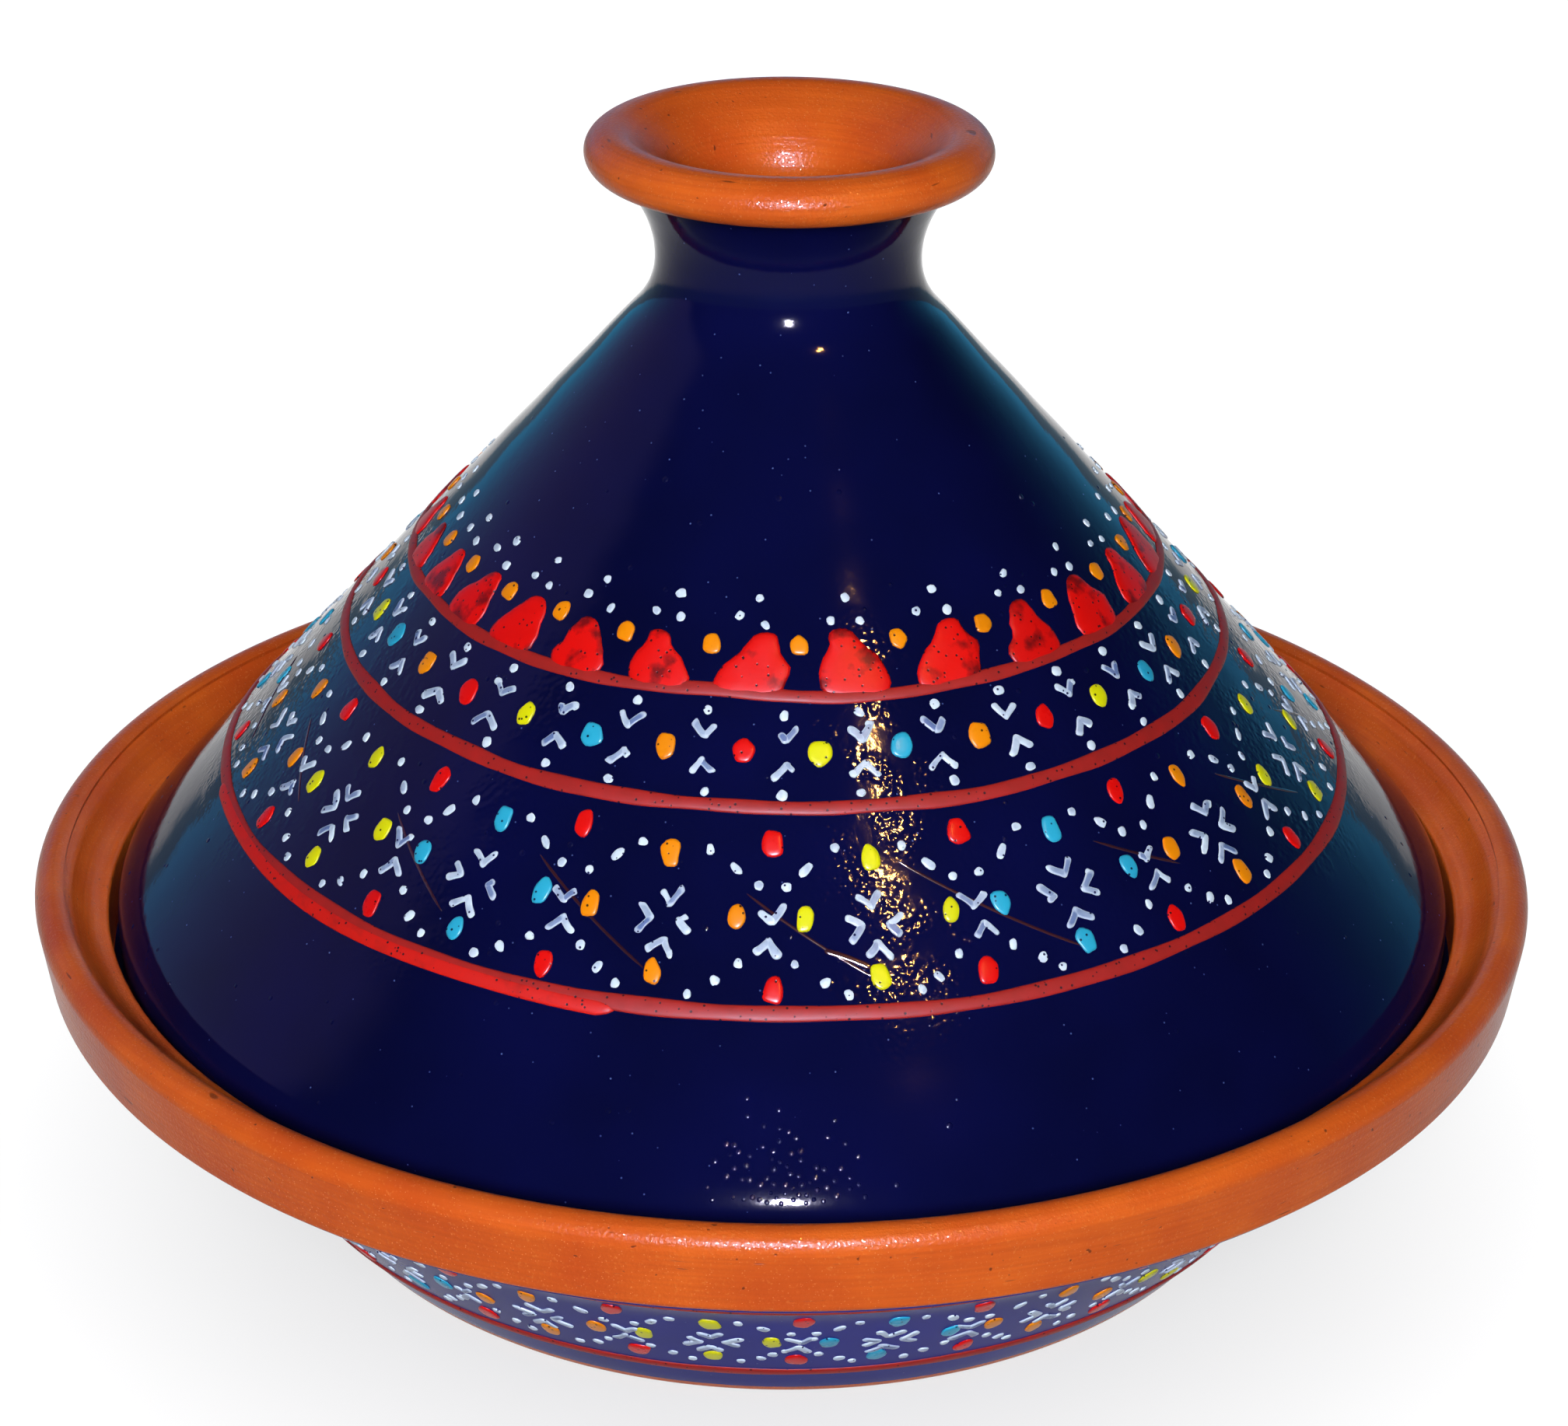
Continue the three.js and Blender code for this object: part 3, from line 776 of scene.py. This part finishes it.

# %% [markdown]
# ## Burnished terracotta
# The bare clay is earthenware, fired orange-red and rubbed smooth while it was leather-hard. The eye sees fine
# rings from the wheel, a mottled tone, pale grains, a few pits and scratches, a low gloss, and flakes of mica whose
# sparkle is painted into their pale colour as well as raised by a bump.
# The rubbing leaves a thin, grainy polish, which is a weak coat over the dull clay.

# %% Burnished terracotta
def burnished_terracotta():
    material, tree, shader, place = new_material("burnished_terracotta")
    split = add(tree, "SeparateXYZ", {"Vector": place}).node.outputs
    flat = add(tree, "CombineXYZ", {"X": split["X"], "Y": split["Y"]})
    radius = add(tree, "VectorMath", {0: flat}, "Value", operation="LENGTH")
    drift_x = add(tree, "Math", {0: split["X"], 1: 0.03, 2: radius}, operation="MULTIPLY_ADD")
    drift_z = add(tree, "Math", {0: split["Y"], 1: 0.03, 2: split["Z"]}, operation="MULTIPLY_ADD")
    ringwise = add(tree, "CombineXYZ", {"X": drift_x, "Y": drift_z})
    drawn = add(tree, "Mapping", {"Vector": place, "Scale": (0.16, 0.16, 1.6)})
    rings, mottle, grain, scratches, pits = (
        add(tree, "TexNoise", {"Vector": way, "Scale": per_mm(size), "Detail": detail})
        for way, size, detail in ((ringwise, 0.9, 3), (place, 22, 4), (place, 0.7, 2), (drawn, 1, 1), (place, 1.1, 0)))
    flakes = add(tree, "TexVoronoi", {"Vector": place, "Scale": per_mm(0.8)})
    sparkle = add(tree, "TexVoronoi", {"Vector": place, "Scale": per_mm(0.9)}, feature="SMOOTH_F1")

    shade, ringed, pale, mica_and_painted_sparkle, worn, pitted = (
        add(tree, "MapRange", {0: pattern, 1: none, 2: full, 4: most})
        for pattern, none, full, most in (
            (mottle, 0.3, 0.7, 1), (rings, 0.35, 0.7, 0.35), (grain, 0.6, 0.75, 0.4), (flakes, 0.15, 0.08, 0.4),
            (scratches, 0.745, 0.8, 0.65), (pits, 0.82, 0.88, 0.75)))
    marks = add(tree, "Math", {0: worn, 1: pitted}, operation="MAXIMUM")
    # The pale mica colour is partly a painted glint: it stands in for the flakes' sparkle, besides the bump that
    # raises them.
    tone = "#c24e1a"
    for share, colour in ((shade, "#da661f"), (ringed, "#b04416"), (pale, "#dc8040"), (mica_and_painted_sparkle, "#f0a870"),
                          (marks, "#4a1c0c")):
        tone = add(tree, "Mix", {0: share, 6: tone, 7: colour}, 2, data_type="RGBA")

    gloss = add(tree, "MapRange", {0: grain, 3: 0.22, 4: 0.42})
    height = add(tree, "Math", {0: rings, 1: 0.7, 2: grain}, operation="MULTIPLY_ADD")
    height = add(tree, "Math", {0: mica_and_painted_sparkle, 1: 1.5, 2: height}, operation="MULTIPLY_ADD")
    height = add(tree, "Math", {0: height, 1: marks}, operation="SUBTRACT")
    relief = add(tree, "Bump", {"Height": height, "Strength": 0.6, "Distance": 0.25 * MM})
    polish = add(tree, "Bump", {"Height": sparkle, "Distance": 0.2 * MM})
    feed(shader, {
        "Base Color": tone, "Roughness": gloss, "IOR": CERAMIC_IOR, "Specular IOR Level": 0.03, "Normal": relief,
        "Coat Weight": 0.14, "Coat Roughness": 0.08, "Coat IOR": 1.3, "Coat Normal": polish,
    })
    return material


terracotta = burnished_terracotta()
print("material:", terracotta.name)

# %% [markdown]
# ## Dipped cobalt glaze
# Cobalt in a clear lead-free glaze fires to a blue so deep that it reads as black where nothing is reflected. It is
# glass, so it mirrors what is round it, but the melt leaves a faint orange-peel ripple and pinholes, and among the
# painting it crawled into fine cells that scatter a highlight. On the bowl the same glaze is painted a lighter, milky
# violet blue as painted light, and it mirrors less.

# %% Cobalt glaze
CRAWLED = ((84, 92), (150, 140))  # mm above the table: between these heights the crawling sets in, and ends


def cobalt_glaze(name, deep, clear, gloss, level):
    """Cobalt glaze: its colour where it pooled and where it is thin, its roughness, and how strongly it mirrors."""
    material, tree, shader, place = new_material(name)
    pool = add(tree, "TexNoise", {"Vector": place, "Scale": per_mm(40), "Detail": 3})
    peel = add(tree, "TexNoise", {"Vector": place, "Scale": per_mm(5), "Detail": 5, "Roughness": 0.6})
    pinholes = add(tree, "TexVoronoi", {"Vector": place, "Scale": per_mm(3.5)})
    hole = add(tree, "MapRange", {0: pinholes, 1: 0.06, 2: 0.03})
    fine = add(tree, "TexVoronoi", {"Vector": place, "Scale": per_mm(1.1)}, feature="SMOOTH_F1")
    where = add(tree, "TexNoise", {"Vector": place, "Scale": per_mm(9), "Detail": 1})
    crawled = add(tree, "MapRange", {0: where, 1: 0.38, 2: 0.55})
    z = add(tree, "SeparateXYZ", {"Vector": place}, "Z")
    for start, full in CRAWLED:
        crawled = add(tree, "MapRange", {0: z, 1: start * MM, 2: full * MM, 4: crawled})
    crawl = add(tree, "Math", {0: fine, 1: crawled}, operation="MULTIPLY")

    tone = add(tree, "Mix", {0: pool, 6: deep, 7: clear}, 2, data_type="RGBA")
    tone = add(tree, "Mix", {0: hole, 6: tone, 7: "#4a5a98"}, 2, data_type="RGBA")
    rough = add(tree, "MapRange", {0: pool, 3: gloss, 4: gloss * 2})
    height = add(tree, "Math", {0: hole, 1: -0.2, 2: peel}, operation="MULTIPLY_ADD")
    relief = add(tree, "Bump", {"Height": height, "Strength": 0.3, "Distance": 0.15 * MM})
    relief = add(tree, "Bump", {"Height": crawl, "Distance": 0.1 * MM, "Normal": relief})
    feed(shader, {
        "Base Color": tone, "Roughness": rough, "IOR": CERAMIC_IOR, "Specular IOR Level": level, "Normal": relief,
    })
    return material


cobalt = cobalt_glaze("dipped_cobalt_glaze", "#04061f", "#0a0d45", 0.04, 0.07)
# The bowl's copy of the cobalt is painted lighter as painted light: the same glaze, lit-looking, and less glossy.
bowl_cobalt_painted_lighter = cobalt_glaze("cobalt_glaze_painted_lighter", "#141868", "#262a98", 0.14, 0.015)
scratched = cobalt_glaze("scratched_glaze", "#08081f", "#4a2020", 0.08, 0.3)
print("materials:", cobalt.name, bowl_cobalt_painted_lighter.name, scratched.name)

# %% [markdown]
# ## Fired enamels
# The enamels are coloured glass painted over the glaze. They are satin-glossy and speckled with dark pinholes where
# gas escaped in the fire. A quick stroke of white is so thin in the middle that the blue shows through, and it
# gathers to full white along its edge and at its ends.

# %% Enamels
def fired_enamel(name, full, thin, dark, thinning=(0.15, 0.3), blotches=0.76, pooled=0.0, rim=0.35, gloss=0.2):
    """An enamel: its full colour, its colour where it is thin, and the dark that shows in blotches and pinholes.

    Pooled is how much of the thinness is lost where the enamel gathered at a mark's edge and ends.
    """
    material, tree, shader, place = new_material(name)
    edge, load = (add(tree, "Attribute", {}, "Fac", attribute_name=kind) for kind in ("edge", "load"))
    flow, patch = (add(tree, "TexNoise", {"Vector": place, "Scale": per_mm(size), "Detail": detail})
                   for size, detail in ((3.2, 3), (5.5, 4)))
    pinholes = add(tree, "TexVoronoi", {"Vector": place, "Scale": per_mm(1.5)})
    hole = add(tree, "MapRange", {0: pinholes, 1: 0.19, 2: 0.14})

    thin_start, thin_most = thinning
    uneven_load = add(tree, "Math", {0: load, 1: flow}, operation="MULTIPLY")
    thinness = add(tree, "MapRange", {0: uneven_load, 1: thin_start, 2: 0.0, 4: thin_most})
    inner = add(tree, "MapRange", {0: edge, 1: 0.55, 2: 0.82, 3: 1.0, 4: 1 - pooled})
    thinness = add(tree, "Math", {0: thinness, 1: inner}, operation="MULTIPLY")
    at_edge = add(tree, "MapRange", {0: edge, 1: 0.8, 2: 1.0, 4: rim})
    blotch = add(tree, "MapRange", {0: patch, 1: blotches, 2: blotches + 0.12, 4: 0.8})
    spoiled = add(tree, "Math", {0: blotch, 1: hole}, operation="MAXIMUM")
    tone = full
    for share, colour in ((thinness, thin), (at_edge, thin), (spoiled, dark)):
        tone = add(tree, "Mix", {0: share, 6: tone, 7: colour}, 2, data_type="RGBA")

    rough = add(tree, "MapRange", {0: flow, 3: gloss, 4: gloss + 0.18})
    height = add(tree, "Math", {0: hole, 1: -1.2, 2: flow}, operation="MULTIPLY_ADD")
    relief = add(tree, "Bump", {"Height": height, "Strength": 0.3, "Distance": 0.15 * MM})
    feed(shader, {
        "Base Color": tone, "Roughness": rough, "IOR": CERAMIC_IOR, "Specular IOR Level": 0.06, "Normal": relief,
    })
    return material


enamels = {
    "line": fired_enamel("brick_red_enamel", "#cc1a10", "#80221f", "#3a0c14", (0.5, 0.9), 0.72, rim=0.6, gloss=0.4),
    "drops": fired_enamel("bright_red_enamel", "#dc0c06", "#a80c0a", "#4a080c", blotches=0.53, gloss=0.3),
    "red": fired_enamel("red_oval_enamel", "#da0e0a", "#a81218", "#3c0810"),
    "orange": fired_enamel("orange_enamel", "#ea8a06", "#b8660c", "#4a2408"),
    "yellow": fired_enamel("yellow_enamel", "#d8d80a", "#a8a818", "#30340c"),
    "turquoise": fired_enamel("turquoise_enamel", "#2ba6cc", "#2580a8", "#081c3c"),
    "white": fired_enamel("white_enamel", "#d2e2f4", "#4c649f", "#101c4c", (0.5, 0.95), 0.8, pooled=0.6, rim=0.0),
}
print("enamels:", ", ".join(enamels))

# %% [markdown]
# ## Putting the pieces together
# Each piece gets its finish, rides on the dish or on the lid, and hides the imported solid it stands for. The marks
# are new pieces that stand for no solid.

# %% Finishes and bodies
SLOTS = {
    "drops": "bright_red_enamel", "red": "bright_red_enamel", "line": "brick_red_enamel", "orange": "orange_enamel",
    "yellow": "yellow_enamel", "turquoise": "turquoise_enamel", "white": "white_enamel",
}


def settle(piece, body, slot, material, *nodes):
    piece.data.materials.append(material)
    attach(piece, body)
    if nodes:
        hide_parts(*nodes)


settle(dish_body, "dish", "terracotta", terracotta, "dish_clay")
settle(dish_coat, "dish", "cobalt_glaze", bowl_cobalt_painted_lighter, "dish_outer_glaze")
settle(dish_lining, "dish", "cobalt_glaze", cobalt, "dish_inner_glaze")
settle(lid_shell, "lid", "terracotta", terracotta, "lid_clay")
settle(knob_cup, "lid", "terracotta", terracotta, "knob_clay")
settle(lid_coat, "lid", "cobalt_glaze", cobalt, "lid_glaze")
settle(guide_lines, "lid", "cobalt_glaze", scratched)
settle(glaze_blisters, "lid", "cobalt_glaze", cobalt)
for node, line in lines.items():
    settle(line, node.split("_")[0], SLOTS["line"], enamels["line"], node)
for body, marks in (("lid", lid_marks), ("dish", bowl_marks)):
    for kind, pile in marks.items():
        settle(lay_pile(f"{body}_{kind}_marks", pile), body, SLOTS[kind], enamels[kind])

# %% [markdown]
# ## Floor and light
# The pot stands on a white sheet that fades into a pale blue-grey floor further off, and the backdrop has the same
# colour. Three soft lamps, in front, overhead and behind, give the plain level of light, and they are kept out of the
# mirror of the glaze, as a tent of cloth would do. A small lamp in front gives the short bright glints on the neck,
# the shoulder and the bead, and a warm one high on the right the gold streak among the painting. The room itself is
# dim. The glaze mirrors its blue-green far wall along the edges of the cone, and a violet window on the left.

# %% Floor
SHEET_MIDDLE = (0, 0.38, 0)  # the sheet lies further out behind the pot than in front, in metres
SHEET_EDGE = 0.74  # from there to where it begins to fade
# Near the foot the sheet glows less: a painted shadow round the pot, added to the real one.
PAINTED_SHADOW, LIGHT = (0.1, 0.7), (0.19, 1.0)  # metres from the pot's axis, and how white the sheet is seen there
FAR_FLOOR = (0.25, 0.39, 0.47, 1)


def pale_sheet():
    """Paper that is seen as white round the pot and keeps the shadow under it; near the foot its glow is dimmed, a
    painted shadow.
    """
    material, tree, shader, place = new_material("pale_paper_sheet")
    fibre = add(tree, "TexNoise", {"Vector": place, "Scale": per_mm(60), "Detail": 5})
    away = add(tree, "VectorMath", {0: place}, "Value", operation="LENGTH")
    out = add(tree, "VectorMath", {0: place, 1: SHEET_MIDDLE}, "Value", operation="DISTANCE")
    far = {0: out, 1: SHEET_EDGE, 2: 1.6 * SHEET_EDGE}
    far_share = add(tree, "MapRange", far, interpolation_type="SMOOTHSTEP")
    tone = add(tree, "Mix", {0: fibre, 6: "#585858", 7: "#606060"}, 2, data_type="RGBA")
    tone = add(tree, "Mix", {0: far_share, 6: tone, 7: "#5c747c"}, 2, data_type="RGBA")
    path = add(tree, "LightPath", {}).node.outputs
    seen = path["Is Camera Ray"]
    for ray in ("Is Glossy Ray", "Is Transmission Ray"):
        seen = add(tree, "Math", {0: seen, 1: path[ray]}, operation="MAXIMUM")
    # The glow falls off towards the foot as a painted shadow.
    lift = add(tree, "MapRange", {0: away, 1: PAINTED_SHADOW[0], 2: LIGHT[0], 3: PAINTED_SHADOW[1], 4: LIGHT[1]})
    lift = add(tree, "Math", {0: seen, 1: lift}, operation="MULTIPLY")
    glow = add(tree, "Mix", {0: far_share, 6: (1, 1, 1, 1), 7: FAR_FLOOR}, 2, data_type="RGBA")
    feed(shader, {
        "Base Color": tone, "Roughness": 0.9, "Specular IOR Level": 0.1,
        "Emission Color": glow, "Emission Strength": lift,
    })
    return material


FLOOR_HALF = 20
floor_corners = [(x * FLOOR_HALF, y * FLOOR_HALF, 0) for x, y in ((-1, -1), (1, -1), (1, 1), (-1, 1))]
floor = make_object("floor", floor_corners, [(0, 1, 2, 3)])
floor.data.materials.append(pale_sheet())
print("floor", FLOOR_HALF * 2, "m wide")

# %% Lamps
def lamp(name, azimuth, elevation, distance, size, watts, in_mirror):
    """A square lamp that faces the pot; azimuth 0 is in front and 90 is to the right, and lengths are in metres."""
    light = bpy.data.lights.new(name, "AREA")
    light.shape = "SQUARE"
    light.size = size
    light.energy = watts
    thing = bpy.data.objects.new(name, light)
    a, e = radians(azimuth), radians(elevation)
    way = Vector((sin(a) * cos(e), -cos(a) * cos(e), sin(e)))
    thing.location = Vector((0, 0, AIM_HEIGHT)) + way * distance
    thing.rotation_mode = "QUATERNION"
    thing.rotation_quaternion = (-way).to_track_quat("-Z", "Y")
    thing.visible_glossy = in_mirror
    bpy.context.scene.collection.objects.link(thing)
    return thing


lamp("front_cloth", -2, 26, 1.1, 0.28, 13, False)
lamp("top_cloth", 0, 85, 3.2, 3.0, 2.4, False)
lamp("back_cloth", 180, 12, 1.3, 0.5, 7, False)
glint = lamp("glint", 1, 24, 0.75, 0.04, 60, True)
warm_tube = lamp("warm_tube", 31, 53.4, 2, 0.035, 32, True)
warm_tube.data.shape, warm_tube.data.size_y = "RECTANGLE", 0.1
for small, colour in ((glint, "#e8e4ff"), (warm_tube, "#ffb45c")):
    small.visible_diffuse = False
    small.data.color = linear(colour)[:3]
print("lamps:", len(bpy.data.lights))

# %% Room
WINDOW_COLOUR = (0.75, 0.6, 1.4, 1)
WALL_COLOUR = (0.17, 0.95, 1.65, 1)

world = bpy.data.worlds.new("room")
bpy.context.scene.world = world
world.use_nodes = True
tree = world.node_tree
way = add(tree, "TexCoord", {}, "Generated")
split = add(tree, "SeparateXYZ", {"Vector": way}).node.outputs
path = add(tree, "LightPath", {}).node.outputs
mirrored = path["Is Glossy Ray"]
height = add(tree, "MapRange", {0: split["Z"], 2: 0.45}, interpolation_type="SMOOTHSTEP")
left = add(tree, "MapRange", {0: split["X"], 1: -0.25, 2: -0.5, 4: mirrored})
pane = add(tree, "MapRange", {0: split["Y"], 1: -0.16, 2: 0.02}, interpolation_type="SMOOTHSTEP")
pane = add(tree, "Math", {0: left, 1: pane}, operation="MULTIPLY")
behind = add(tree, "MapRange", {0: split["Y"], 1: 0.1, 2: 0.9, 4: mirrored})
low = add(tree, "MapRange", {0: split["Z"], 1: 0.5, 2: 0.05})
far_wall = add(tree, "Math", {0: behind, 1: low}, operation="MULTIPLY")
room = "#34383e"
for share, colour in ((height, "#222428"), (pane, WINDOW_COLOUR), (far_wall, WALL_COLOUR),
                      (path["Is Camera Ray"], FAR_FLOOR)):
    room = add(tree, "Mix", {0: share, 6: room, 7: colour}, 2, data_type="RGBA")
feed(tree.nodes["Background"], {"Color": room})
bpy.context.scene.view_settings.view_transform = "Standard"
print("room: dim, with a wall behind and a window on the left")

# %% Update
bpy.context.view_layer.update()
